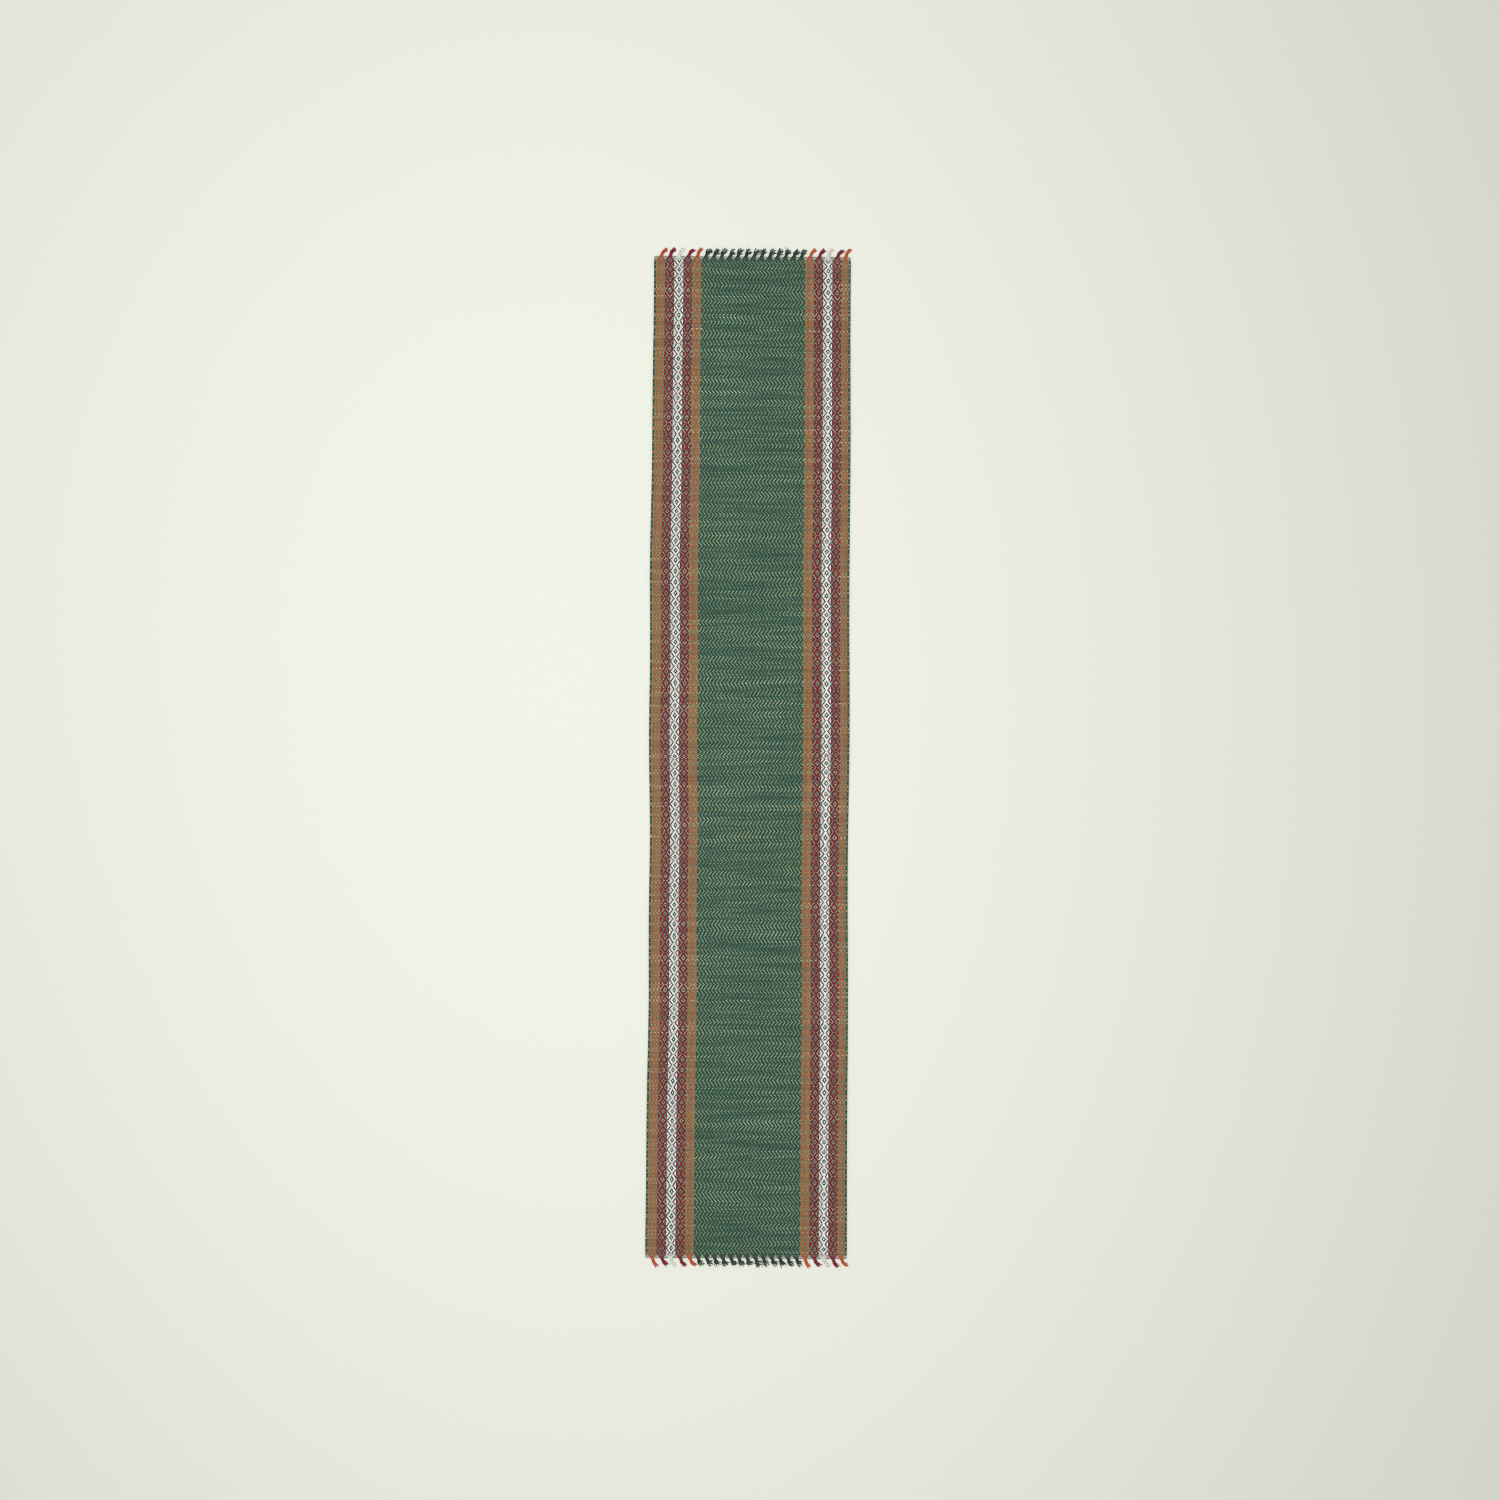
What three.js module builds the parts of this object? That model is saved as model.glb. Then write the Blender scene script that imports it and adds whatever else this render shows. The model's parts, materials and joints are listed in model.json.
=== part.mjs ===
// A handwoven cotton table runner with knotted warp tassels at both ends, lying flat.
// Millimetres, +Z up, +Y along the runner. The origin is on the underside, at mid-length.
//
// The cloth is one piece on the loom. It is four panels here, split where a runner bends in
// use: over the two ends of a table, and in half when it is put away.

import * as THREE from "three";

const INCH = 25.4;

// ---- Driving dimensions ----------------------------------------------------

const cloth = {
  length: 1796, // first pick to last pick, without the tassels
  farWidth: 352.5, // at the +Y end, where the weaver beat and pulled in a little more
  nearWidth: 361, // at the -Y end
  thickness: 2, // two crossing yarns, a little flattened
  dropLength: 6 * INCH, // what hangs over each end of a 60 inch table
};

const clearance = 0.3; // between neighbouring pieces

// The warp from left to right: how many ends each stripe has, and what its ends are tied into.
const warp = [
  { stripe: "left_selvedge", yarn: "green", ends: 2, tassels: 0 },
  { stripe: "left_outer_orange", yarn: "orange", ends: 10, tassels: 1 },
  { stripe: "left_outer_red", yarn: "red", ends: 10, tassels: 1 },
  { stripe: "left_white", yarn: "white", ends: 10, tassels: 1 },
  { stripe: "left_inner_red", yarn: "red", ends: 10, tassels: 1 },
  { stripe: "left_inner_orange", yarn: "orange", ends: 10, tassels: 1 },
  { stripe: "green", yarn: "green", ends: 114, tassels: 13 },
  { stripe: "right_inner_orange", yarn: "orange", ends: 10, tassels: 1 },
  { stripe: "right_inner_red", yarn: "red", ends: 10, tassels: 1 },
  { stripe: "right_white", yarn: "white", ends: 10, tassels: 1 },
  { stripe: "right_outer_red", yarn: "red", ends: 10, tassels: 1 },
  { stripe: "right_outer_orange", yarn: "orange", ends: 8, tassels: 1 },
  { stripe: "right_selvedge", yarn: "green", ends: 2, tassels: 0 },
];
const totalEnds = warp.reduce((sum, stripe) => sum + stripe.ends, 0);

// A tassel lies on the table and leans to the right at both ends of the runner.
const tassel = {
  neckRadius: 1.1, // the gathered ends, where they leave the cloth
  knotRadius: 1.6,
  waistRadius: 1.1,
  tailRadius: 1.5, // the frayed tail
  knotCentre: 4.2, // from the neck's start, along the tassel
  flattening: 0.8, // height over width, as it lies
  facets: 10,
  lean: 35, // degrees from the runner's length
  leanSpread: 7, // degrees that a tassel may lean more or less
  greenLength: 17,
  stripeLength: 18.5,
};

// ---- Materials -------------------------------------------------------------

const yarnColours = { green: "#24402f", orange: "#c8703a", red: "#7c1822", white: "#f0f1ea" };

function yarnMaterial(yarn) {
  return new THREE.MeshStandardMaterial({
    name: `${yarn}_yarn`,
    color: yarnColours[yarn],
    roughness: 0.9,
    metalness: 0,
  });
}

function clothMaterial() {
  return new THREE.MeshStandardMaterial({
    name: "woven_cloth",
    color: "#526a58",
    roughness: 0.9,
    metalness: 0,
  });
}

// ---- Places on the cloth ---------------------------------------------------

const farEdge = cloth.length / 2;
const nearEdge = -cloth.length / 2;
const farHinge = farEdge - cloth.dropLength;
const nearHinge = nearEdge + cloth.dropLength;

function widthAt(y) {
  const share = (y - nearEdge) / cloth.length;
  return THREE.MathUtils.lerp(cloth.nearWidth, cloth.farWidth, share);
}

// Where a warp end lies across the runner, counted from the left selvedge.
function xOfEnd(end, y) {
  return widthAt(y) * (end / totalEnds - 0.5);
}

// ---- Pieces ----------------------------------------------------------------

// A slab of cloth between two lines across the runner, with its own selvedges.
function clothPanel(name, yNear, yFar) {
  const outline = new THREE.Shape([
    new THREE.Vector2(-widthAt(yNear) / 2, yNear),
    new THREE.Vector2(widthAt(yNear) / 2, yNear),
    new THREE.Vector2(widthAt(yFar) / 2, yFar),
    new THREE.Vector2(-widthAt(yFar) / 2, yFar),
  ]);
  const slab = new THREE.ExtrudeGeometry(outline, {
    depth: cloth.thickness,
    bevelEnabled: false,
  });
  const mesh = new THREE.Mesh(slab, clothMaterial());
  mesh.name = name;
  return mesh;
}

// A knotted bunch of warp ends, turned about +Y from the neck at 0 to the end of the tail.
function tasselGeometry(length) {
  const knotHalf = tassel.knotRadius;
  const profile = [
    [0, 0],
    [tassel.neckRadius, 0],
    [tassel.neckRadius, tassel.knotCentre - knotHalf],
    [tassel.knotRadius, tassel.knotCentre - knotHalf / 2],
    [tassel.knotRadius, tassel.knotCentre + knotHalf / 2],
    [tassel.waistRadius, tassel.knotCentre + knotHalf],
    [tassel.tailRadius, length * 0.7],
    [tassel.tailRadius, length * 0.9],
    [tassel.waistRadius, length],
    [0, length],
  ].map(([radius, along]) => new THREE.Vector2(radius, along));
  const turned = new THREE.LatheGeometry(profile, tassel.facets);
  turned.scale(1, 1, tassel.flattening);
  return turned;
}

// Puts a tassel against the end of the cloth. farSide is +1 at the far end and -1 at the near.
function placeTassel(name, stripe, endNumber, farSide, order) {
  const length = stripe.yarn === "green" ? tassel.greenLength : tassel.stripeLength;
  const edge = farSide > 0 ? farEdge : nearEdge;
  const lean = THREE.MathUtils.degToRad(
    tassel.lean + tassel.leanSpread * Math.sin(2.4 * order + farSide),
  );
  const mesh = new THREE.Mesh(tasselGeometry(length), yarnMaterial(stripe.yarn));
  const setBack = clearance + tassel.neckRadius * Math.sin(lean);
  mesh.position.set(
    xOfEnd(endNumber, edge),
    edge + farSide * setBack,
    tassel.knotRadius * tassel.flattening,
  );
  mesh.rotation.z = farSide > 0 ? -lean : Math.PI + lean;
  mesh.name = name;
  return mesh;
}

function endTassels(endName, farSide) {
  const group = new THREE.Group();
  let firstEnd = 0;
  let order = 0;
  for (const stripe of warp) {
    for (let bunch = 0; bunch < stripe.tassels; bunch += 1) {
      const number = stripe.tassels > 1 ? `_${String(bunch + 1).padStart(2, "0")}` : "";
      const middle = firstEnd + (stripe.ends * (bunch + 0.5)) / stripe.tassels;
      const name = `${endName}_tassel_${stripe.stripe}${number}`;
      group.add(placeTassel(name, stripe, middle, farSide, order));
      order += 1;
    }
    firstEnd += stripe.ends;
  }
  return group;
}

// ---- The runner ------------------------------------------------------------

const runner = new THREE.Group();
const half = clearance / 2;
runner.add(clothPanel("far_drop_cloth", farHinge + half, farEdge));
runner.add(clothPanel("far_half_cloth", half, farHinge - half));
runner.add(clothPanel("near_half_cloth", nearHinge + half, -half));
runner.add(clothPanel("near_drop_cloth", nearEdge, nearHinge - half));
runner.add(endTassels("far", 1));
runner.add(endTassels("near", -1));

export default runner;
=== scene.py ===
"""A handwoven cotton table runner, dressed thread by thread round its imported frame.

The cloth is a four-shaft 2/2 twill. Its green field is threaded straight and treadled to and
fro, which makes a zigzag. The narrow stripes at both sides are threaded to a point, which makes
diamonds, and the outermost ones in pairs, which makes a fine check. Its own warp ends are
knotted in bunches beyond the first and the last pick.
"""

import json
import logging
import math
import random
from collections.abc import Callable, Iterator, Sequence
from dataclasses import dataclass
from enum import Enum
from functools import partial

import bpy
import numpy as np
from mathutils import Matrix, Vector


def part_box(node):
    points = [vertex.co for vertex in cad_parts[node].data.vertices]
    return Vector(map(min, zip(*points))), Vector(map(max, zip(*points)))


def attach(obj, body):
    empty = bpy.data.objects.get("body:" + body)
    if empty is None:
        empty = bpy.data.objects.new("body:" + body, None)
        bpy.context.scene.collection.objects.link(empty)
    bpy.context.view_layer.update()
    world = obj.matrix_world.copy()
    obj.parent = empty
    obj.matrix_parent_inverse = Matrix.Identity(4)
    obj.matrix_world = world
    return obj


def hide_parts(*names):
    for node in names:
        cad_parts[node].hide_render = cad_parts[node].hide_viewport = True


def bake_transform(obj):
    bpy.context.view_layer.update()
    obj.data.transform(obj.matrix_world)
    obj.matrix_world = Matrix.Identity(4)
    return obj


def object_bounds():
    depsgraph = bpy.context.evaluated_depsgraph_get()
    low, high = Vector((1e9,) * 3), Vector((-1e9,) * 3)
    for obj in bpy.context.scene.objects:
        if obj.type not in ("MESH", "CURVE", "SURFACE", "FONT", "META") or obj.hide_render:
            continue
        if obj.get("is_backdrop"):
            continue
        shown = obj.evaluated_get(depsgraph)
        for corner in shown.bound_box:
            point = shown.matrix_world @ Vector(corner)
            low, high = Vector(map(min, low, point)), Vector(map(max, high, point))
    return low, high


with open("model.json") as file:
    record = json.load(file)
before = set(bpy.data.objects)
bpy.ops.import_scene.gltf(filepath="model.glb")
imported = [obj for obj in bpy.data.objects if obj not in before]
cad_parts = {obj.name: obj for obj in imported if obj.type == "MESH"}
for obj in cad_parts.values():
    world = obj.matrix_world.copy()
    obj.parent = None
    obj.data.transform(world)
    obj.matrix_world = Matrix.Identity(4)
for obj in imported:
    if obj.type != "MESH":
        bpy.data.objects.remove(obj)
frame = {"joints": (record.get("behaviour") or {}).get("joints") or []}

logger = logging.getLogger("table_runner")

MM = 0.001
INK = tuple[float, float, float, float]
NodeAdder = Callable[..., bpy.types.Node]


# ---- Colour and node helpers ---------------------------------------------------------------


def linear(hex_code: str) -> INK:
    """Turns an sRGB hex colour into linear values.

    Args:
        hex_code: The colour as six hex digits, with or without a leading hash.

    Returns:
        Linear red, green, blue and an alpha of 1.
    """
    digits = hex_code.lstrip("#")
    channels = [int(digits[k : k + 2], 16) / 255 for k in (0, 2, 4)]
    red, green, blue = (
        c / 12.92 if c <= 0.04045 else ((c + 0.055) / 1.055) ** 2.4 for c in channels
    )
    return red, green, blue, 1.0


def add_node(tree: bpy.types.NodeTree, kind: str, *inputs, **named) -> bpy.types.Node:
    """Adds one node, with its settings and links.

    Args:
        tree: The node tree that it goes in.
        kind: The node's type, without the ShaderNode that it starts with.
        *inputs: What the node's inputs take, in order: a node for its first output, a socket,
            a plain value, or None to leave an input alone.
        **named: Inputs by their own names, and the node's settings.

    Returns:
        The new node.
    """
    node = tree.nodes.new(f"ShaderNode{kind}")
    settings = {name for name in named if hasattr(node, name)}
    for name in settings:
        setattr(node, name, named[name])
    live = [socket for socket in node.inputs if socket.enabled]
    fills = [pair for pair in zip(live, inputs) if pair[1] is not None]
    fills += [(node.inputs[name], named[name]) for name in named if name not in settings]
    for socket, value in fills:
        if isinstance(value, bpy.types.Node):
            value = next(output for output in value.outputs if output.enabled)
        if isinstance(value, bpy.types.NodeSocket):
            tree.links.new(value, socket)
        else:
            socket.default_value = value
    return node


def new_material(name: str) -> tuple[bpy.types.Material, NodeAdder]:
    """Starts an empty node material.

    Args:
        name: The material's name.

    Returns:
        The material, and add_node for its tree.
    """
    material = bpy.data.materials.new(name)
    material.use_nodes = True
    material.node_tree.nodes.clear()
    return material, partial(add_node, material.node_tree)


def fill_ramp(
    node: bpy.types.Node, stops: Sequence[tuple[float, INK]], interpolation: str = "LINEAR"
) -> None:
    """Sets a colour ramp's stops.

    Args:
        node: The colour ramp node.
        stops: Position from 0 to 1 and linear colour of each stop, in order.
        interpolation: How the ramp goes from stop to stop.
    """
    ramp = node.color_ramp
    ramp.interpolation = interpolation
    for _ in range(len(stops) - len(ramp.elements)):
        ramp.elements.new(1.0)
    for element, (position, colour) in zip(ramp.elements, stops):
        element.position = position
        element.color = colour


# ---- The loom's plan -----------------------------------------------------------------------


class Yarn(Enum):
    """The four dyed yarns of the warp."""

    GREEN = "green_yarn"
    ORANGE = "orange_yarn"
    RED = "red_yarn"
    WHITE = "white_yarn"


class Side(Enum):
    """The two long edges of the cloth, by the sign of X."""

    LEFT = -1
    RIGHT = 1


class End(Enum):
    """The two fringed ends of the cloth, by the sign of Y."""

    FAR = 1
    NEAR = -1


@dataclass(frozen=True)
class Stripe:
    """A group of neighbouring warp ends of one yarn."""

    name: str
    yarn: Yarn
    ends: int
    bunches: int


@dataclass(frozen=True)
class Bunch:
    """The warp ends that are tied into one tassel."""

    name: str
    yarn: Yarn
    first: float
    last: float

    @property
    def middle(self) -> float:
        """The end number at the middle of the bunch."""
        return (self.first + self.last) / 2


STRIPES = (
    Stripe("left_selvedge", Yarn.GREEN, 2, 0),
    Stripe("left_outer_orange", Yarn.ORANGE, 10, 1),
    Stripe("left_outer_red", Yarn.RED, 10, 1),
    Stripe("left_white", Yarn.WHITE, 10, 1),
    Stripe("left_inner_red", Yarn.RED, 10, 1),
    Stripe("left_inner_orange", Yarn.ORANGE, 10, 1),
    Stripe("green", Yarn.GREEN, 114, 13),
    Stripe("right_inner_orange", Yarn.ORANGE, 10, 1),
    Stripe("right_inner_red", Yarn.RED, 10, 1),
    Stripe("right_white", Yarn.WHITE, 10, 1),
    Stripe("right_outer_red", Yarn.RED, 10, 1),
    Stripe("right_outer_orange", Yarn.ORANGE, 8, 1),
    Stripe("right_selvedge", Yarn.GREEN, 2, 0),
)


@dataclass(frozen=True)
class Waver:
    """How one selvedge wavers: the depth of its slow and its quick waves, in millimetres."""

    slow: float
    quick: float
    quick_length: float  # metres


WAVERS = {Side.LEFT: Waver(2.2, 0.8, 0.33), Side.RIGHT: Waver(0.5, 0.9, 0.52)}


@dataclass(frozen=True)
class Loom:
    """Where every thread runs, worked out from the frame's cloth panels.

    Places across are counted in warp ends from the left selvedge, and places along in picks
    from the near end, so a thread keeps its number however the cloth is drawn in or beaten.
    """

    picks: int = 786
    pick_skew: float = 1.0  # picks that a slanting pick climbs from the middle to a selvedge
    skew_waves: float = 3.5  # how often the slant goes to and fro along the cloth
    beats: tuple[tuple[float, float], ...] = ((0.56, 20), (0.28, 32.5), (1.2, 8))  # picks, waves
    calm_length: float = 1.83  # metres from end to end, where the selvedges run true
    slow_length: float = 1.5  # metres, as are the wave lengths below
    slow_shift: float = 0.03
    swell_along: float = 0.31
    swell_across: float = 0.24
    swell_slant: float = 9.0  # radians that a swell turns in a metre across
    swell_height: float = 0.25  # mm that the cloth's middle rises and falls
    ruffle_lengths: tuple[float, float] = (0.083, 0.47)
    ruffle_height: float = 0.35  # mm that a selvedge rises and falls

    @property
    def ends(self) -> int:
        """The number of warp ends."""
        return sum(stripe.ends for stripe in STRIPES)

    @property
    def far_edge(self) -> float:
        """Where the far end of the cloth is."""
        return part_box("far_drop_cloth")[1].y

    @property
    def near_edge(self) -> float:
        """Where the near end of the cloth is."""
        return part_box("near_drop_cloth")[0].y

    @property
    def thickness(self) -> float:
        """How thick the cloth is."""
        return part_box("far_half_cloth")[1].z

    @property
    def pick_pitch(self) -> float:
        """The mean distance from pick to pick."""
        return (self.far_edge - self.near_edge) / self.picks

    def edge_x(self, side: Side, y: np.ndarray | float) -> np.ndarray | float:
        """Where a selvedge lies, drawn in and let out a little as the weaver worked.

        Args:
            side: Which selvedge.
            y: Place along the cloth, in metres.

        Returns:
            X of the selvedge at each place.
        """
        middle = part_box("far_half_cloth")[1].x
        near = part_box("near_drop_cloth")[1].x
        half_width = middle + (near - middle) * y / self.near_edge
        waver = WAVERS[side]
        calm = np.cos(math.pi * y / self.calm_length)
        bulge = waver.slow * np.sin(math.tau * (y + self.slow_shift) / self.slow_length) * calm
        wobble = waver.quick * np.sin(math.tau * y / waver.quick_length + 1.0) * calm
        return side.value * (half_width + MM * (bulge + wobble))

    def end_at(self, x: np.ndarray, y: np.ndarray) -> np.ndarray:
        """The warp end number at a place on the cloth."""
        left = self.edge_x(Side.LEFT, y)
        return self.ends * (x - left) / (self.edge_x(Side.RIGHT, y) - left)

    def x_of_end(self, end: np.ndarray | float, y: np.ndarray | float) -> np.ndarray | float:
        """Where a warp end lies across the cloth."""
        left = self.edge_x(Side.LEFT, y)
        return left + (self.edge_x(Side.RIGHT, y) - left) * end / self.ends

    def pick_at(self, x: np.ndarray, y: np.ndarray) -> np.ndarray:
        """The pick number at a place, with the unevenness of a hand beat.

        Args:
            x: Place across the cloth, in metres.
            y: Place along the cloth, in metres.

        Returns:
            Picks from the near end.
        """
        share = (y - self.near_edge) / (self.far_edge - self.near_edge)
        beat = sum(depth * np.sin(math.tau * waves * share) for depth, waves in self.beats)
        skew = self.pick_skew * np.sin(math.tau * self.skew_waves * share)
        return self.picks * share + beat + skew * x / self.edge_x(Side.RIGHT, y)

    def lift(self, x: np.ndarray, y: np.ndarray) -> np.ndarray:
        """How far the limp cloth stands off the table.

        Args:
            x: Place across the cloth, in metres.
            y: Place along the cloth, in metres.

        Returns:
            Height of the underside, in metres, never below the table.
        """
        swell = np.sin(math.tau * y / self.swell_along + self.swell_slant * x)
        swell = swell * np.cos(math.tau * x / self.swell_across + 1.3)
        short, long = self.ruffle_lengths
        ruffle = np.sin(math.tau * y / short + np.sign(x)) * np.sin(math.tau * y / long)
        edge_share = np.clip(np.abs(x) / self.edge_x(Side.RIGHT, 0.0), 0, 1)
        edge_lift = self.ruffle_height * (1 + ruffle) * edge_share**12
        return MM * (self.swell_height + self.swell_height * swell + edge_lift)

    def bunches(self) -> Iterator[Bunch]:
        """The bunches that the warp ends are tied into, from left to right."""
        first = 0
        for stripe in STRIPES:
            for number in range(stripe.bunches):
                share = stripe.ends / stripe.bunches
                suffix = f"_{number + 1:02d}" if stripe.bunches > 1 else ""
                start = first + share * number
                yield Bunch(stripe.name + suffix, stripe.yarn, start, start + share)
            first += stripe.ends


# ---- Finishes ------------------------------------------------------------------------------


@dataclass(frozen=True)
class Slip:
    """A slip of the weaver's feet: how many treadles were gone back, after which pick."""

    after: float
    back: int


@dataclass(frozen=True)
class TwillFinish:
    """Hand-loomed cotton twill: matt, coarse and slightly hairy, with every thread in view."""

    loom: Loom
    warp: tuple[tuple[Yarn, str], ...] = (
        (Yarn.GREEN, "#2e543b"),
        (Yarn.ORANGE, "#b96c37"),
        (Yarn.RED, "#8f1c2a"),
        (Yarn.WHITE, "#f5f5ef"),
    )
    weft: tuple[tuple[float, str], ...] = (
        (0.22, "#4e6f66"),
        (0.36, "#59826f"),
        (0.45, "#6d8b7b"),
        (0.53, "#7f9c88"),
        (0.60, "#8ba37b"),
        (0.68, "#8caf9b"),
        (0.80, "#aac6b4"),
    )
    cream: str = "#b4bb9e"
    slips: tuple[Slip, ...] = (Slip(40.5, -1), Slip(47.5, 4), Slip(392.5, -1), Slip(754.5, 4))
    shafts: float = 4.0
    treadles: float = 5.0
    point: float = 5.0  # ends from the edge of a narrow stripe to its point
    field_half: float = 57.0  # half the ends of the green field
    pointed_half: float = 97.0  # half the ends between the two outermost stripes
    wander: float = 0.7  # how far a yarn may stray, in pitches
    end_contrast: float = 0.18  # how much lighter or darker one end may be
    streak_ends: float = 55.0  # ends that one shade of the weft runs across
    band: tuple[float, float] = (160.0, 7.0)  # ends and picks that a band of like shades spans
    band_share: float = 0.42  # how much the bands count beside the streaks
    cream_above: float = 0.97  # the draw above which a pick turns cream
    roundness: float = 0.92  # how far round a thread its visible part goes
    dive: float = 0.8  # how deep a thread sinks where it goes under
    ply_relief: float = 0.06
    fuzz_relief: float = 0.25
    mottle: float = 0.15
    relief: float = 0.6 * MM
    valley_shade: float = 0.42  # how light a valley between dark threads is
    pale_valley_shade: float = 0.72
    field_bulge: float = 0.12  # how far a warp float swells over the picks beside it, in pitches
    stripe_bulge: float = 0.18  # the same in the narrow stripes, which are sleyed closer
    white_shadow: float = 0.18  # painted shade: how light the weft is left between the thick white ends

    def near_middle(
        self, node: NodeAdder, end: bpy.types.Node, half_width: float
    ) -> bpy.types.Node:
        """Adds a test: 1 where a warp end is this near the middle of the cloth, in ends."""
        return node("Math", end, self.loom.ends / 2 + 0.5, half_width, operation="COMPARE")

    def shaft_of(self, node: NodeAdder, end: bpy.types.Node) -> bpy.types.Node:
        """Adds the threading: which shaft carries a warp end.

        Args:
            node: add_node for the tree.
            end: The warp end's number.

        Returns:
            The shaft, where whole turns of four are the same shaft.
        """
        middle = self.loom.ends / 2
        right_half = node("Math", end, middle, operation="GREATER_THAN")
        left_start, extra_ends = 2.0, 4.0  # the first pointed end, and what the field adds
        first = node("Math", right_half, extra_ends, left_start, operation="MULTIPLY_ADD")
        into_stripe = node("Math", end, first, operation="SUBTRACT")
        point = node("Math", into_stripe, self.point, operation="PINGPONG")
        straight = node("Math", end, self.shafts, operation="FLOORED_MODULO")
        second_pair = node("Math", straight, 1.5, operation="GREATER_THAN")
        check = node("Math", second_pair, self.shafts / 2, operation="MULTIPLY")
        in_field = self.near_middle(node, end, self.field_half)
        inside = self.near_middle(node, end, self.pointed_half)
        striped = node("Mix", in_field, point, straight, data_type="FLOAT")
        return node("Mix", inside, check, striped, data_type="FLOAT")

    def treadle_of(
        self, node: NodeAdder, pick: bpy.types.Node
    ) -> bpy.types.Node:
        """Adds the treadling: to and fro over five treadles, with the weaver's slips.

        Args:
            node: add_node for the tree.
            pick: The pick's number.

        Returns:
            The treadle.
        """
        step = pick
        for slip in self.slips:
            later = node("Math", pick, slip.after, operation="GREATER_THAN")
            step = node("Math", later, float(-slip.back), step, operation="MULTIPLY_ADD")
        turn = node("Math", step, self.treadles - 1, operation="PINGPONG")
        return node("Math", turn, 1.0, operation="ADD")

    def warp_shows(
        self, node: NodeAdder, shaft: bpy.types.Node, treadle: bpy.types.Node
    ) -> bpy.types.Node:
        """Adds the 2/2 twill rule: 1 where the warp end lies over the pick, and 0 where under."""
        apart = node("Math", shaft, treadle, operation="SUBTRACT")
        between = node("Math", apart, 0.5, operation="ADD")  # keeps clear of rounding
        turn = node("Math", between, self.shafts, operation="FLOORED_MODULO")
        return node("Math", turn, self.shafts / 2, operation="LESS_THAN")

    def thread_height(
        self,
        node: NodeAdder,
        across: bpy.types.Node,
        along: bpy.types.Node,
        dives: bpy.types.Node,
    ) -> bpy.types.Node:
        """Adds the height of a thread that may dive under its neighbour.

        Args:
            node: add_node for the tree.
            across: Distance from the thread's axis, in thread pitches.
            along: Distance from the middle of the crossing, in thread pitches.
            dives: 1 where the thread goes down at the nearer side of the crossing.

        Returns:
            The height, from 0 in a valley to 1 on a crown.
        """
        turn = node("Math", across, math.pi * self.roundness, operation="MULTIPLY")
        round_back = node("Math", turn, operation="COSINE")
        reach = node("Math", along, 2.0, operation="MULTIPLY")
        square = node("Math", reach, reach, operation="MULTIPLY")
        sink = node("Math", square, dives, operation="MULTIPLY")
        crown = node("Math", sink, -self.dive, 1.0, operation="MULTIPLY_ADD")
        return node("Math", round_back, crown, operation="MULTIPLY")

    def warp_colours(self) -> list[tuple[float, INK]]:
        """The warp's colours from left to right, as ramp stops."""
        inks = {yarn: linear(code) for yarn, code in self.warp}
        early = 0.42  # in ends, because a ramp is only as fine as its 256 steps
        stops = []
        first = 0
        for stripe in STRIPES:
            stops.append((max(0.0, first - early) / self.loom.ends, inks[stripe.yarn]))
            first += stripe.ends
        return stops

    def build(self) -> bpy.types.Material:
        """Makes the material.

        Returns:
            The material, which reads the thread numbers in the "threads" UV map and the
            "underside" attribute.
        """
        material, node = new_material("hand_loomed_cotton_twill")
        threads = node("UVMap", uv_map="threads")

        # Yarns wander a little from their places.
        wander = node("TexNoise", Vector=threads, Scale=0.3, Detail=1.0, noise_dimensions="2D")
        offset = node(
            "VectorMath", wander.outputs["Color"], (0.5, 0.5, 0.5), operation="SUBTRACT"
        )
        strays = (self.wander, self.wander, 0.0)
        placed = node("VectorMath", offset, strays, threads, operation="MULTIPLY_ADD")
        crossing = node("VectorMath", placed, operation="FLOOR")
        corner = node("VectorMath", placed, crossing, operation="SUBTRACT")
        within = node("VectorMath", corner, (0.5, 0.5, 0.0), operation="SUBTRACT")
        number = node("SeparateXYZ", crossing)
        place = node("SeparateXYZ", within)
        end, pick = number.outputs["X"], number.outputs["Y"]
        from_end, from_pick = place.outputs["X"], place.outputs["Y"]

        # The crossing itself, and its nearer neighbours along the end and along the pick.
        side_end = node("Math", end, node("Math", from_end, operation="SIGN"), operation="ADD")
        side_pick = node("Math", pick, node("Math", from_pick, operation="SIGN"), operation="ADD")
        under = node("Attribute", attribute_name="underside").outputs["Fac"]
        shaft, side_shaft = (
            node("Math", under, self.shafts / 2, self.shaft_of(node, one), operation="MULTIPLY_ADD")
            for one in (end, side_end)
        )
        treadle = self.treadle_of(node, pick)
        warp_up = self.warp_shows(node, shaft, treadle)
        warp_up_along = self.warp_shows(node, shaft, self.treadle_of(node, side_pick))
        warp_up_across = self.warp_shows(node, side_shaft, treadle)
        warp_dives = node("Math", 1.0, warp_up_along, operation="SUBTRACT")
        in_field = self.near_middle(node, end, self.field_half)
        rim_from = node(
            "MapRange", in_field, 0.0, 1.0, 0.5 - self.stripe_bulge, 0.5 - self.field_bulge
        )
        warp_over = warp_up
        for offset, beside in ((from_end, warp_up_across), (from_pick, warp_up_along)):
            distance = node("Math", offset, operation="ABSOLUTE")
            rim = node("Math", distance, rim_from, operation="GREATER_THAN")
            swollen = node("Math", rim, beside, operation="MULTIPLY")
            warp_over = node("Math", warp_over, swollen, operation="MAXIMUM")
        warp_height = self.thread_height(node, from_end, from_pick, warp_dives)
        weft_height = self.thread_height(node, from_pick, from_end, warp_up_across)
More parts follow.
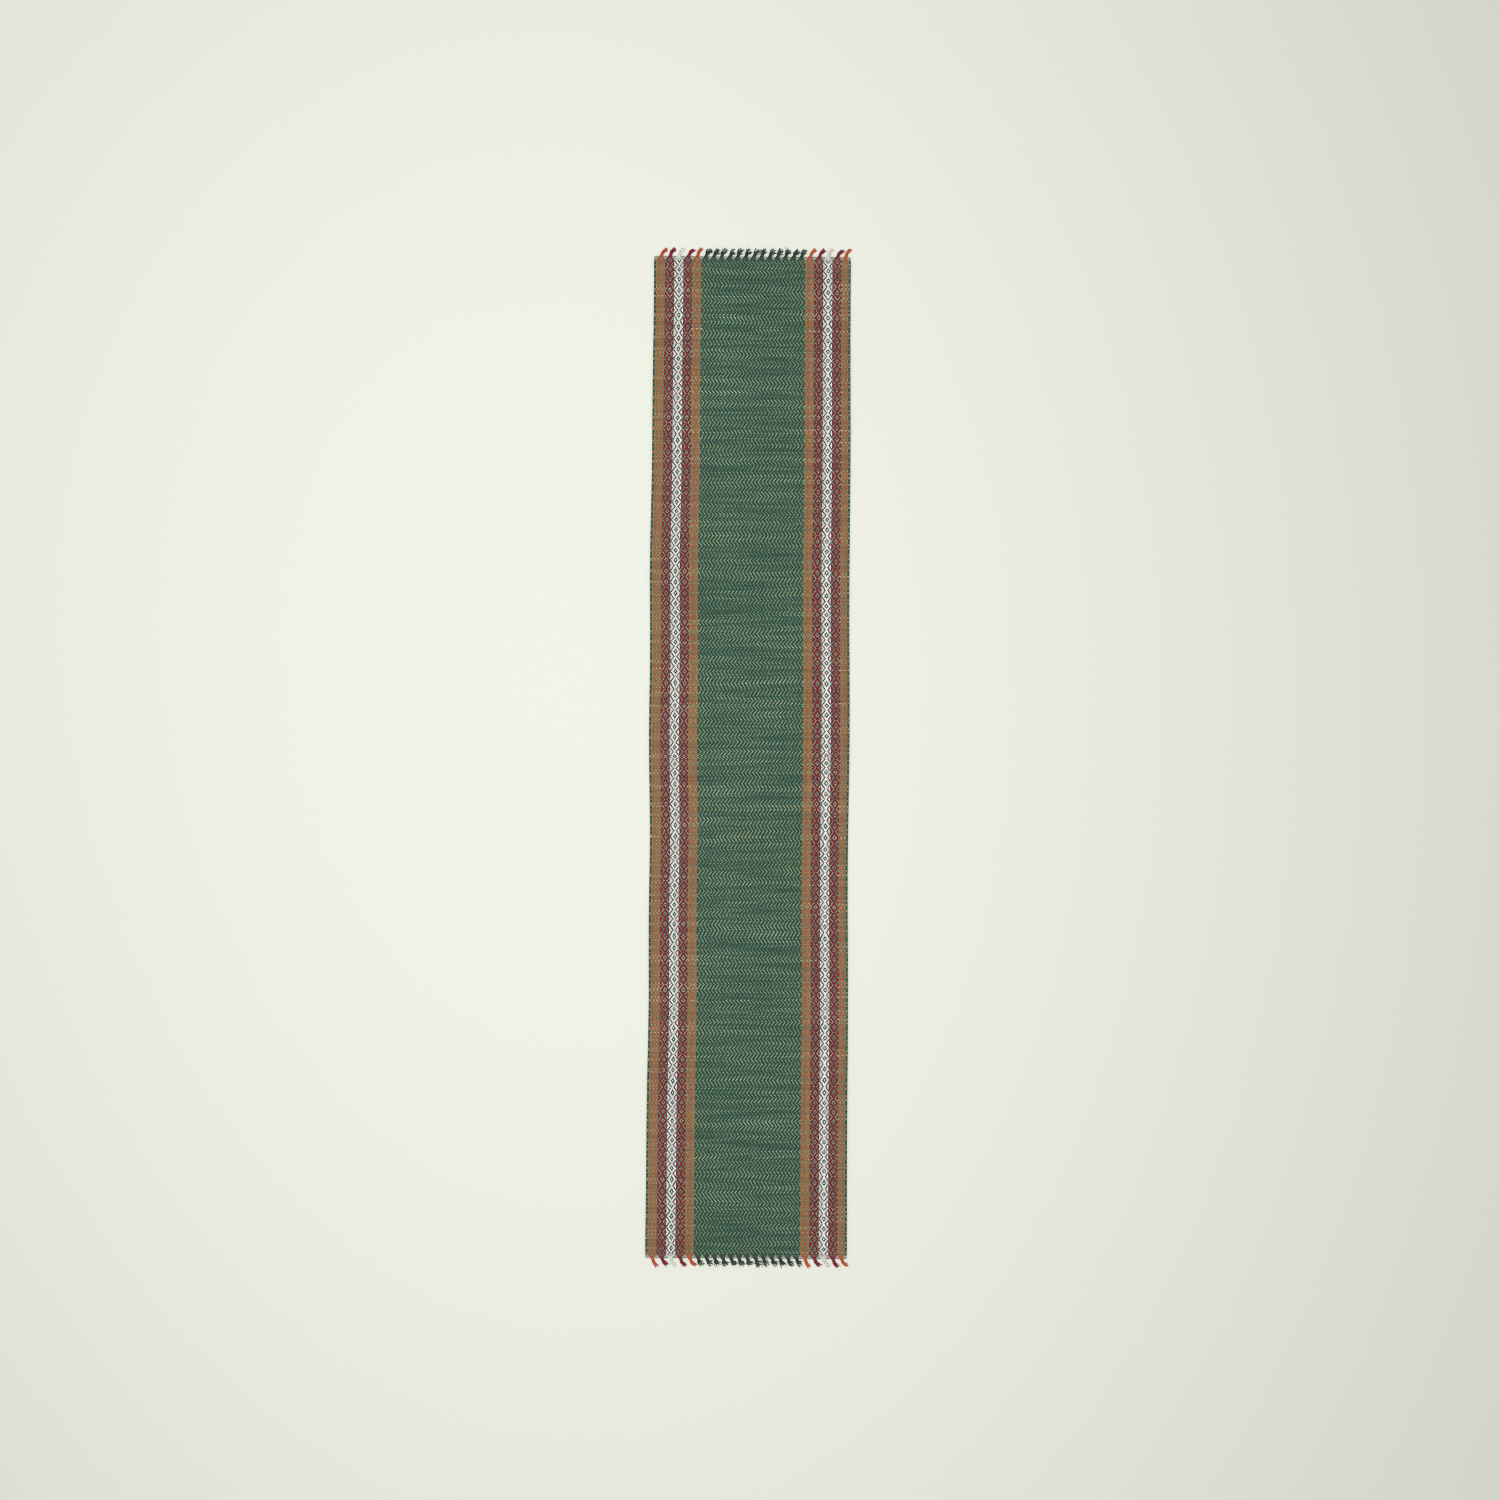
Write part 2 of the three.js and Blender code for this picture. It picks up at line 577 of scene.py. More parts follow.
        height = node("Mix", warp_over, weft_height, warp_height, data_type="FLOAT")

        # The warp: one dyed colour a stripe, each end a shade of its own.
        end_share = node(
            "Math", node("Math", end, 0.5, operation="ADD"), float(self.loom.ends),
            operation="DIVIDE",
        )
        warp_ink = node("ValToRGB", end_share)
        fill_ramp(warp_ink, self.warp_colours(), "CONSTANT")
        end_shade = node("TexWhiteNoise", W=end, noise_dimensions="1D")
        darkest, lightest = 1 - self.end_contrast, 1 + self.end_contrast
        end_light = node("MapRange", end_shade, 0.0, 1.0, darkest, lightest)
        warp_colour = node("VectorMath", warp_ink, Scale=end_light, operation="SCALE")

        # The weft: a space-dyed sage yarn whose shade drifts along each pick and over many.
        unlike = 7.31  # how far apart neighbouring picks are in the noise, so that they differ
        run = (1 / self.streak_ends, unlike, 0.0)
        pick_row = node("VectorMath", crossing, run, operation="MULTIPLY")
        streak = node("TexNoise", Vector=pick_row, Scale=1.0, Detail=0.0, noise_dimensions="2D")
        spans = (1 / self.band[0], 1 / self.band[1], 0.0)
        pick_band = node("VectorMath", crossing, spans, operation="MULTIPLY")
        band = node("TexNoise", Vector=pick_band, Scale=1.0, Detail=1.0, noise_dimensions="2D")
        dye = node("Mix", self.band_share, streak, band, data_type="FLOAT")
        weft_ink = node("ValToRGB", dye)
        fill_ramp(weft_ink, [(position, linear(code)) for position, code in self.weft])
        pick_draw = node("TexWhiteNoise", W=pick, noise_dimensions="1D")
        rare_pick = node("Math", pick_draw, self.cream_above, operation="GREATER_THAN")
        long_run = node("Math", streak, 0.5, operation="GREATER_THAN")
        cream_here = node("Math", rare_pick, long_run, operation="MULTIPLY")
        weft_lit = node("Mix", cream_here, weft_ink, linear(self.cream), data_type="RGBA")
        # Painted shade: the weft is darkened between the pale white ends, in place of their shadow.
        warp_paleness = node("RGBToBW", warp_ink)
        shadow = node("MapRange", warp_paleness, 0.3, 0.8, 1.0, self.white_shadow)
        weft_colour = node("VectorMath", weft_lit, Scale=shadow, operation="SCALE")
        yarn_colour = node("Mix", warp_over, weft_colour, warp_colour, data_type="RGBA")

        # Two plies twisted together, and the loose hairs of carded cotton.
        ply_along = node("Math", place.outputs["X"], place.outputs["Y"], operation="ADD")
        ply_turn = node("Math", ply_along, math.tau * 1.5, operation="MULTIPLY")
        ply = node("Math", ply_turn, operation="SINE")
        fuzz = node("TexNoise", Vector=threads, Scale=5.0, Detail=3.0, noise_dimensions="2D")
        plied = node("Math", ply, self.ply_relief, height, operation="MULTIPLY_ADD")
        hairy = node("Math", fuzz, self.fuzz_relief, plied, operation="MULTIPLY_ADD")

        # Painted shade: the colour is darkened in the valleys between the threads, where little
        # light reaches, but less for pale yarns, which pass it on.
        paleness = node("RGBToBW", yarn_colour)
        valley = node("MapRange", paleness, 0.0, 0.8, self.valley_shade, self.pale_valley_shade)
        shade = node("MapRange", height, 0.0, 0.85, valley, 1.0)
        mottle = node("MapRange", fuzz, 0.25, 0.75, 1 - self.mottle, 1 + self.mottle)
        light = node("Math", shade, mottle, operation="MULTIPLY")
        shaded = node("VectorMath", yarn_colour, Scale=light, operation="SCALE")
        bump = node("Bump", Height=hairy, Distance=self.relief, Strength=1.0)
        surface = node(
            "BsdfPrincipled",
            Roughness=0.9,
            Normal=bump,
            **{"Base Color": shaded, "Sheen Weight": 0.15, "Sheen Roughness": 0.6,
               "Specular IOR Level": 0.2},
        )
        node("OutputMaterial", surface)
        return material


@dataclass(frozen=True)
class YarnFinish:
    """Loosely plied cotton yarn: matt, with a visible twist, partly painted as shade in the grooves
    and highlight on the crowns, and lighter hairs.
    """

    name: str
    colour: str
    turns: float = 9.0  # turns of the twist along one strand
    relief: float = 0.12 * MM
    spread: float = 0.3  # how much lighter or darker one strand may be
    groove: float = 0.75  # painted shade: how light the groove between two plies is
    crown: float = 1.1  # painted highlight: how light the crown of a ply is
    plies: int = 2
    hair_size: float = 0.25 * MM
    mottle: float = 0.15

    def build(self) -> bpy.types.Material:
        """Makes the material, which reads the strand's own UV map, round and along."""
        material, node = new_material(self.name)
        strand = node("UVMap", uv_map="UVMap")
        place = node("SeparateXYZ", strand)
        around = node("Math", place.outputs["X"], math.tau * self.plies, operation="MULTIPLY")
        turn = node(
            "Math", place.outputs["Y"], math.tau * self.turns, around, operation="MULTIPLY_ADD"
        )
        twist = node("Math", turn, operation="SINE")
        where = node("TexCoord").outputs["Object"]
        hair = node("TexNoise", Vector=where, Scale=1 / self.hair_size, Detail=2.0)
        lot = node("NewGeometry").outputs["Random Per Island"]
        strand_light = node("MapRange", lot, 0.0, 1.0, 1 - self.spread, 1 + self.spread)
        # Painted shade in the grooves between the plies, and a painted highlight on their crowns.
        painted_twist_light = node("MapRange", twist, -1.0, 1.0, self.groove, self.crown)
        hair_light = node("MapRange", hair, 0.3, 0.7, 1 - self.mottle, 1 + self.mottle)
        light = node("Math", strand_light, painted_twist_light, operation="MULTIPLY")
        light = node("Math", light, hair_light, operation="MULTIPLY")
        shaded = node("VectorMath", linear(self.colour)[:3], Scale=light, operation="SCALE")
        relief = node("Math", hair, 0.5, twist, operation="MULTIPLY_ADD")
        bump = node("Bump", Height=relief, Distance=self.relief, Strength=1.0)
        surface = node(
            "BsdfPrincipled",
            Roughness=0.9,
            Normal=bump,
            **{"Base Color": shaded, "Sheen Weight": 0.2, "Sheen Roughness": 0.6,
               "Specular IOR Level": 0.2},
        )
        node("OutputMaterial", surface)
        return material


YARN_FINISHES = {
    Yarn.GREEN: YarnFinish("plied_cotton_dark_green", "#21402e"),
    Yarn.ORANGE: YarnFinish("plied_cotton_orange", "#e2662b"),
    Yarn.RED: YarnFinish("plied_cotton_crimson", "#98142a"),
    Yarn.WHITE: YarnFinish("plied_cotton_white", "#fbfaf4", spread=0.02, groove=0.95),
}
WEFT_FINISH = YarnFinish("plied_cotton_sage", "#71907d", turns=3.0)


# ---- Mesh helpers --------------------------------------------------------------------------


def deselect_all() -> None:
    """Leaves nothing selected, so that an operator acts on the new piece alone."""
    bpy.ops.object.select_all(action="DESELECT")


def dress(piece: bpy.types.Object, material: bpy.types.Material) -> None:
    """Gives a piece one material all over."""
    piece.data.materials.clear()
    piece.data.materials.append(material)


Strand = list[tuple[float, float, float, float]]


def yarn_piece(name: str, strands: list[Strand], radius: float) -> bpy.types.Object:
    """Lays yarns along smooth paths and makes one mesh of them.

    Args:
        name: The piece's name.
        strands: Each yarn's points, as x, y, z and a share of the radius.
        radius: The yarn's radius, in metres.

    Returns:
        The mesh object, at the origin, with round and along in its UV map.
    """
    curve = bpy.data.curves.new(name, "CURVE")
    curve.dimensions = "3D"
    curve.bevel_depth = radius
    curve.bevel_resolution = 1
    curve.use_fill_caps = True
    for strand in strands:
        spline = curve.splines.new("NURBS")
        spline.points.add(len(strand) - 1)
        spline.order_u = 4
        spline.use_endpoint_u = True
        spline.resolution_u = 2
        for point, (x, y, z, share) in zip(spline.points, strand):
            point.co = (x, y, z, 1.0)
            point.radius = share
    piece = bpy.data.objects.new(name, curve)
    bpy.context.collection.objects.link(piece)
    deselect_all()
    piece.select_set(True)
    bpy.context.view_layer.objects.active = piece
    bpy.ops.object.convert(target="MESH")
    bpy.ops.object.shade_smooth()
    piece = bpy.context.view_layer.objects.active
    piece.name = name
    return piece


# ---- The cloth -----------------------------------------------------------------------------


@dataclass(frozen=True)
class Bend:
    """Where a panel bends: between which bodies, and from where, going which way."""

    fixed_body: str
    moving_body: str
    start_y: float
    direction: int
    reach: float = 12 * MM

    def apply(self, piece: bpy.types.Object) -> None:
        """Bakes a piece's placement into its mesh."""
        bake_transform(piece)


@dataclass(frozen=True)
class Panel:
    """One stretch of the cloth from selvedge to selvedge, with the weft turning round both."""

    loom: Loom
    node: str
    body: str
    low_y: float
    high_y: float
    bend: Bend | None = None
    fringed: End | None = None
    columns: int = 72
    row_step: float = 5 * MM
    bend_step: float = 1 * MM
    bend_rows: float = 16 * MM  # how far the close rows run from a bend line
    edge_radius: float = 1.0 * MM
    edge_thinness: float = 0.3  # how thin the rim is, as a share of the cloth
    crease_angle: float = 55  # degrees
    loop_radius: float = 0.48 * MM
    loop_reach: float = 0.3 * MM
    loop_tilt: float = 0.35 * MM
    loop_anchors: tuple[float, float] = (1.6 * MM, 0.4 * MM)  # how far inside the cloth

    @property
    def name(self) -> str:
        """The piece's name."""
        return self.node.replace("cloth", "woven_panel")

    def rows(self) -> np.ndarray:
        """Where the rows of vertices run, closer together where the cloth bends or ends."""
        marks = [self.low_y, self.high_y]
        steps = []
        if self.bend is not None:
            marks.append(self.bend.start_y + self.bend.direction * self.bend_rows)
        if self.fringed is not None:
            edge = self.high_y if self.fringed is End.FAR else self.low_y
            marks.append(edge - self.fringed.value * 1.5 * self.edge_radius)
        marks.sort()
        for low, high in zip(marks, marks[1:]):
            narrow = high - low < 1.5 * self.bend_rows
            step = self.bend_step if narrow else self.row_step
            if high - low < 2 * self.edge_radius:
                step = self.edge_radius * 0.3
            count = max(1, round((high - low) / step))
            steps.extend(np.linspace(low, high, count, endpoint=False))
        return np.array([*steps, self.high_y])

    def shares(self) -> np.ndarray:
        """Where the columns of vertices run, as shares of the width, closer at the selvedges."""
        width = 2 * self.loom.edge_x(Side.RIGHT, 0.0)
        rim = np.array([0.0, 0.12, 0.35, 0.7]) * self.edge_radius / width
        margin = self.edge_radius * 1.1 / width
        inner = np.linspace(margin, 1 - margin, self.columns)
        return np.concatenate([rim, inner, 1 - rim[::-1]])

    def build(self) -> bpy.types.Object:
        """Makes the panel and shapes it.

        Returns:
            The finished piece.
        """
        rows, shares = self.rows(), self.shares()
        deselect_all()
        bpy.ops.mesh.primitive_grid_add(
            x_subdivisions=len(shares) - 1, y_subdivisions=len(rows) - 1, size=1
        )
        panel = bpy.context.object
        panel.name = self.name
        y = np.repeat(rows, len(shares))
        left = self.loom.edge_x(Side.LEFT, y)
        x = left + (self.loom.edge_x(Side.RIGHT, y) - left) * np.tile(shares, len(rows))
        z = np.full_like(x, self.loom.thickness)
        panel.data.vertices.foreach_set("co", np.stack([x, y, z], 1).ravel())
        thicken = panel.modifiers.new("thickness", "SOLIDIFY")
        thicken.thickness = self.loom.thickness
        thicken.offset = -1.0
        bpy.ops.object.modifier_apply(modifier=thicken.name)
        self.shape(panel)
        bpy.ops.object.shade_smooth_by_angle(angle=math.radians(self.crease_angle))
        return panel

    def shape(self, panel: bpy.types.Object) -> None:
        """Numbers the threads, rounds the free edges and lays the cloth down."""
        mesh = panel.data
        count = len(mesh.vertices)
        places = np.empty(count * 3)
        mesh.vertices.foreach_get("co", places)
        x, y, z = places.reshape(-1, 3).T.copy()
        middle = self.loom.thickness / 2
        below = z < middle
        attribute = mesh.attributes.new("underside", "FLOAT", "POINT")
        attribute.data.foreach_set("value", below.astype(np.float32))
        threads = np.stack([self.loom.end_at(x, y), self.loom.pick_at(x, y)], 1)
        corners = np.empty(len(mesh.loops), int)
        mesh.loops.foreach_get("vertex_index", corners)
        layer = mesh.uv_layers[0]
        layer.name = "threads"
        layer.data.foreach_set("uv", threads[corners].ravel())
        inset = np.minimum(self.loom.edge_x(Side.RIGHT, y) - x, x - self.loom.edge_x(Side.LEFT, y))
        if self.fringed is not None:
            edge = self.high_y if self.fringed is End.FAR else self.low_y
            inset = np.minimum(inset, np.abs(edge - y))
        rise = np.clip(inset / self.edge_radius, 0, 1)
        swell = np.sqrt(1 - (1 - rise) ** 2)
        half = middle * np.clip(swell, self.edge_thinness, 1)
        z = middle + np.where(below, -half, half) + self.loom.lift(x, y)
        mesh.vertices.foreach_set("co", np.stack([x, y, z], 1).ravel())
        mesh.update()

    def turns(self, side: Side) -> bpy.types.Object:
        """Makes the weft's turns round one selvedge, one for every two picks.

        Args:
            side: Which selvedge.

        Returns:
            The finished piece.
        """
        rng = random.Random(f"{self.name} {side.name}")
        pitch = self.loom.pick_pitch
        count = int((self.high_y - self.low_y) / (2 * pitch))
        spacing = (self.high_y - self.low_y) / count
        strands = []
        for number in range(count):
            y = self.low_y + (number + 0.5) * spacing + rng.uniform(-0.1, 0.1) * pitch
            edge = self.loom.edge_x(side, y)
            out = side.value
            reach = self.loop_reach * rng.uniform(0.7, 1.2)
            base = self.loom.thickness / 2 + float(self.loom.lift(np.array(edge), np.array(y)))
            tilt = self.loop_tilt * (1 if number % 2 else -1)
            deep, shallow = (edge - out * anchor for anchor in self.loop_anchors)
            tip = edge + out * reach
            before, after = y - pitch / 2, y + pitch / 2
            strands.append(
                [
                    (deep, before, base + tilt, 1.0),
                    (shallow, before, base + tilt, 1.0),
                    (tip, before, base + tilt / 2, 0.95),
                    (tip, after, base - tilt / 2, 0.95),
                    (shallow, after, base - tilt, 1.0),
                    (deep, after, base - tilt, 1.0),
                ]
            )
        name = self.name.replace("woven_panel", f"{side.name.lower()}_weft_turns")
        return yarn_piece(name, strands, self.loop_radius)

    def place(self, piece: bpy.types.Object) -> None:
        """Ties a piece to this panel's body, or, where the panel bends, bakes its placement into
        its mesh.
        """
        if self.bend is None:
            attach(piece, self.body)
        else:
            self.bend.apply(piece)


# ---- The fringe ----------------------------------------------------------------------------

# How curly and splayed each yarn's tails are.
SCRUFFINESS = {Yarn.GREEN: 1.9, Yarn.ORANGE: 1.05, Yarn.RED: 1.25, Yarn.WHITE: 1.1}


@dataclass(frozen=True)
class Lie:
    """How a tassel lies on the table."""

    root: Vector  # on the cloth's end
    knot: Vector  # the middle of the knot
    along: Vector  # the unit direction that the tail points in
    across: Vector  # the unit direction across it
    tail: Vector  # from the knot to the tip
    scruffy: float  # how curly and splayed the tail is


@dataclass(frozen=True)
class Fringe:
    """The knotted warp ends, and the last loose picks, at one end of the cloth."""

    loom: Loom
    end: End
    body: str
    yarn_radius: float = 0.66 * MM
    pick_radius: float = 0.6 * MM
    open_length: float = 6.4 * MM  # where the last picks lie loose
    open_picks: tuple[tuple[float, float], ...] = ((-5.1, 0.3), (-3.1, 1.0), (-1.2, 2.1))
    crossing: float = 0.42 * MM  # how far a yarn goes over or under a loose pick
    knot_at: float = 3.0 * MM
    knot_half_width: float = 2.4 * MM
    knot_half_height: float = 0.95 * MM
    knot_turns: float = 2.25
    knot_height: float = 1.55 * MM  # of the knot's middle above the table
    plies: int = 2  # that each yarn opens into beyond the knot
    fullness: float = 0.87  # how much of its node's length a tassel takes up
    spread: float = 2.4 * MM  # half the width of a tassel beyond its knot
    bow: float = 2.8 * MM  # how far a tail that lies fully sideways bows out on its way

    @property
    def edge_y(self) -> float:
        """Where the cloth ends."""
        return self.loom.far_edge if self.end is End.FAR else self.loom.near_edge

    @property
    def middle(self) -> float:
        """How high the loose threads lie."""
        return self.loom.thickness / 2 + 0.3 * MM

    def node_of(self, bunch: Bunch) -> str:
        """The frame's name for a tassel."""
        return f"{self.end.name.lower()}_tassel_{bunch.name}"

    def lie(self, bunch: Bunch) -> Lie:
        """How a tassel lies, from its node in the frame."""
        low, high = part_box(self.node_of(bunch))
        root = Vector((self.loom.x_of_end(bunch.middle, self.edge_y), self.edge_y, 0.0))
        tip = Vector((high.x, high.y if self.end is End.FAR else low.y, 0.0))
        chord = tip - root
        along = chord.normalized()
        across = Vector((along.y, -along.x, 0.0)) * self.end.value
        length = self.fullness * chord.length
        knot = root + along * self.knot_at
        tail = along * (length - self.knot_at)
        return Lie(root, knot, along, across, tail, SCRUFFINESS[bunch.yarn])

    def tassel(self, bunch: Bunch) -> bpy.types.Object:
        """Makes one tassel from its own warp ends.

        Args:
            bunch: The warp ends in it.

        Returns:
            The finished piece.
        """
        node = self.node_of(bunch)
        rng = random.Random(node)
        lie = self.lie(bunch)
        first, last = (math.ceil(edge - 0.5) for edge in (bunch.first, bunch.last))
        ends = [end + 0.5 for end in range(first, last)]
        strands: list[Strand] = []
        for order, end in enumerate(ends):
            place = (order + 0.5) / len(ends) * 2 - 1
            level = 0.5 + 0.5 * math.sin(2.4 * order + 1.0)
            strands.extend(self.strand(rng, lie, end, place, level))
        strands.append(self.wrap(rng, lie))
        return yarn_piece(node.replace("tassel", "knotted_tassel"), strands, self.yarn_radius)

    def strand(
        self, rng: random.Random, lie: Lie, end: float, place: float, level: float
    ) -> list[Strand]:
        """Lays one warp end from the cloth through the knot to its frayed tip.

        Args:
            rng: The tassel's random source.
            lie: How the tassel lies.
            end: The warp end's number.
            place: Where the end lies across the bunch, from -1 to 1.
            level: Where it lies from the bottom of the bunch, 0, to the top, 1.

        Returns:
            The yarn up to the knot, its plies beyond it and the hairs at their tips.
        """
        out = self.end.value
        own_x = float(self.loom.x_of_end(end, self.edge_y))
        over = self.crossing if int(end) % 2 else -self.crossing
        points: Strand = [
            (own_x, self.edge_y - out * (self.open_length + inside), self.middle, 1.0)
            for inside in (2 * MM, 0.0)
        ]
        for number, (offset, _) in enumerate(self.open_picks):
            drawn = 0.1 + 0.2 * number
            x = own_x + (lie.root.x - own_x) * drawn
            sign = 1 if number % 2 else -1
            points.append((x, self.edge_y + out * offset * MM, self.middle + sign * over, 1.0))
        rise = 0.6 * MM + 1.4 * MM * level
        squeeze = lie.across * (place * self.spread * 0.85)
        for step, share in ((-1.6, 1.25), (0.0, 0.8), (1.6, 1.05)):
            point = lie.knot + lie.along * (step * MM) + squeeze * share
            points.append((point.x, point.y, rise, 0.95))
        strands = [points]
        for _ in range(self.plies):
            ply = self.ply(rng, lie, place, rise)
            strands += [ply, *self.hairs(rng, lie, ply)]
        return strands

    def ply(self, rng: random.Random, lie: Lie, place: float, rise: float) -> Strand:
        """Lays one ply of an untwisting yarn, from the knot to its tip.

        Args:
            rng: The tassel's random source.
            lie: How the tassel lies.
            place: Where the yarn lies across the bunch, from -1 to 1.
            rise: How high it leaves the knot.

        Returns:
            The ply.
        """
        scruffy = lie.scruffy
        splay = (place + rng.uniform(-0.5, 0.5)) * rng.uniform(0.2, 0.9) * scruffy**2.5 * MM
        curl_size = rng.uniform(0.1, 0.6) * scruffy**1.5 * MM
        curl_turn = rng.uniform(0, math.tau)
        reach_to = rng.uniform(1.0 - 0.3 * scruffy, 1.04)
        bow = self.bow * lie.tail.x / lie.tail.length
        steps = 6
        points: Strand = []
        for step in range(steps + 1):
            reach = step / steps
            curl = curl_size * reach**0.5 * math.sin(curl_turn + 5.0 * reach * scruffy)
            point = lie.knot + lie.tail * (reach * reach_to)
            bend = -bow * math.sin(math.pi * reach)
            point += lie.across * (place * self.spread + splay * reach**1.4 + curl + bend)
            wave = 0.35 * MM * math.sin(curl_turn + 6 * reach)
            z = max(0.45 * MM, rise * (1 - 0.55 * reach) + wave * reach)
            points.append((point.x, point.y, z, 0.72 - 0.34 * reach**2))
        return points

    def hairs(self, rng: random.Random, lie: Lie, yarn: Strand) -> Iterator[Strand]:
        """Lays the loose hairs that fray from a cut yarn end."""
        start = Vector(yarn[-3][:3])
        bend = Vector(yarn[-1][:3])
        for _ in range(2):
            turn = rng.uniform(-1, 1) * lie.scruffy
            reach = rng.uniform(0.3, 2.4) * MM
            tip = bend + lie.along * reach + lie.across * (turn * 1.5 * MM)
            stray = lie.along * (rng.uniform(-0.4, 0.4) * MM)
            mid = bend + lie.across * (turn * 0.5 * MM) + stray
            tip.z = rng.uniform(0.2, 1.8) * MM
            mid.z = max(0.3 * MM, mid.z)
            between = (start + bend) / 2 + lie.across * (turn * 0.2 * MM)
            places = (start, between, mid, tip)
            yield [(p.x, p.y, p.z, share) for p, share in zip(places, (0.42, 0.38, 0.32, 0.14))]

    def wrap(self, rng: random.Random, lie: Lie) -> Strand:
        """Winds the knot round the bunch, slanting over its top as an overhand knot does."""
        steps = 22
        start = rng.uniform(0, 1)
        points: Strand = []
        for step in range(steps + 1):
            share = step / steps
            angle = math.tau * (self.knot_turns * share + start)
            slant = (share - 0.5) * 2.0 * MM + 0.7 * MM * math.cos(angle)
            point = lie.knot + lie.along * slant
            point += lie.across * (self.knot_half_width * math.cos(angle))
            z = self.knot_height + self.knot_half_height * math.sin(angle)
            points.append((point.x, point.y, z, 1.05))
        return points

    def loose_picks(self) -> bpy.types.Object:
        """Makes the last picks, which slide out between the bunches."""
        bunches = list(self.loom.bunches())
        rng = random.Random(f"{self.end.name} picks")
        strands: list[Strand] = []
        for number, (offset, bulge) in enumerate(self.open_picks):
            points: Strand = []
            for end in range(self.loom.ends + 1):
                x = float(self.loom.x_of_end(end, self.edge_y))
                inside = next((b for b in bunches if b.first <= end <= b.last), None)
                if inside is None:
                    slide = 0.0
                else:
                    half = (inside.last - inside.first) / 2
                    slide = (abs(end - inside.middle) / half) ** 2
                y = self.edge_y + self.end.value * MM * (offset + bulge * slide)
                under = 1 if (end + number) % 2 else -1
                z = self.middle + under * 0.25 * MM
                points.append((x, y + rng.uniform(-0.1, 0.1) * MM, z, 1.0))
            strands.append(points)
        name = f"{self.end.name.lower()}_loose_picks"
        return yarn_piece(name, strands, self.pick_radius)


# ---- The runner ----------------------------------------------------------------------------


@dataclass(frozen=True)
class Runner:
    """The whole table runner."""

    loom: Loom

    def panels(self) -> list[Panel]:
        """The four panels, from the far end to the near end, meeting on the bend lines."""
        far_line, middle_line, near_line = (
            next(joint["pos_m"][1] for joint in frame["joints"] if joint["name"] == name)
            for name in ("far_end_drop", "middle_fold", "near_end_drop")
        )
        far_open = self.loom.far_edge - Fringe.open_length
        near_open = self.loom.near_edge + Fringe.open_length
        return [
            Panel(self.loom, "far_drop_cloth", "far_drop", far_line, far_open,
                  Bend("far_half", "far_drop", far_line, 1), End.FAR),
            Panel(self.loom, "far_half_cloth", "far_half", middle_line, far_line),
            Panel(self.loom, "near_half_cloth", "near_half", near_line, middle_line,
                  Bend("far_half", "near_half", middle_line, -1)),
            Panel(self.loom, "near_drop_cloth", "near_drop", near_open, near_line,
                  Bend("near_half", "near_drop", near_line, -1), End.NEAR),
        ]

    def build(self) -> None:
        """Makes every piece of the runner, and ties the fringes and the unbent panel's pieces to
        the frame's bodies.
        """
        twill = TwillFinish(self.loom).build()
        weft = WEFT_FINISH.build()
        yarns = {yarn: finish.build() for yarn, finish in YARN_FINISHES.items()}
        fringes = {
            "far_drop": Fringe(self.loom, End.FAR, "far_drop"),
            "near_drop": Fringe(self.loom, End.NEAR, "near_drop"),
        }
        for panel in self.panels():
            cloth = panel.build()
            dress(cloth, twill)
            panel.place(cloth)
            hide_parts(panel.node)
            for side in Side:
                turns = panel.turns(side)
                dress(turns, weft)
                panel.place(turns)
            fringe = fringes.get(panel.body)
            if fringe is not None:
                self.hang(fringe, yarns, weft)
            width = 2 * self.loom.edge_x(Side.RIGHT, (panel.low_y + panel.high_y) / 2)
            logger.info("%s: %d faces", cloth.name, len(cloth.data.polygons))

    def hang(
        self,
        fringe: Fringe,
        yarns: dict[Yarn, bpy.types.Material],
        weft: bpy.types.Material,
    ) -> list[bpy.types.Object]:
        """Makes one end's fringe and ties it to its body.

        Args:
            fringe: The fringe.
            yarns: The tassels' materials.
            weft: The loose picks' material.

        Returns:
            Its pieces.
        """
        picks = fringe.loose_picks()
        dress(picks, weft)
        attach(picks, fringe.body)
        pieces = [picks]
        for bunch in self.loom.bunches():
            tassel = fringe.tassel(bunch)
            dress(tassel, yarns[bunch.yarn])
            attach(tassel, fringe.body)
            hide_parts(fringe.node_of(bunch))
            pieces.append(tassel)
        logger.info("%s fringe: %d pieces", fringe.end.name.lower(), len(pieces))
        return pieces


# ---- Studio --------------------------------------------------------------------------------


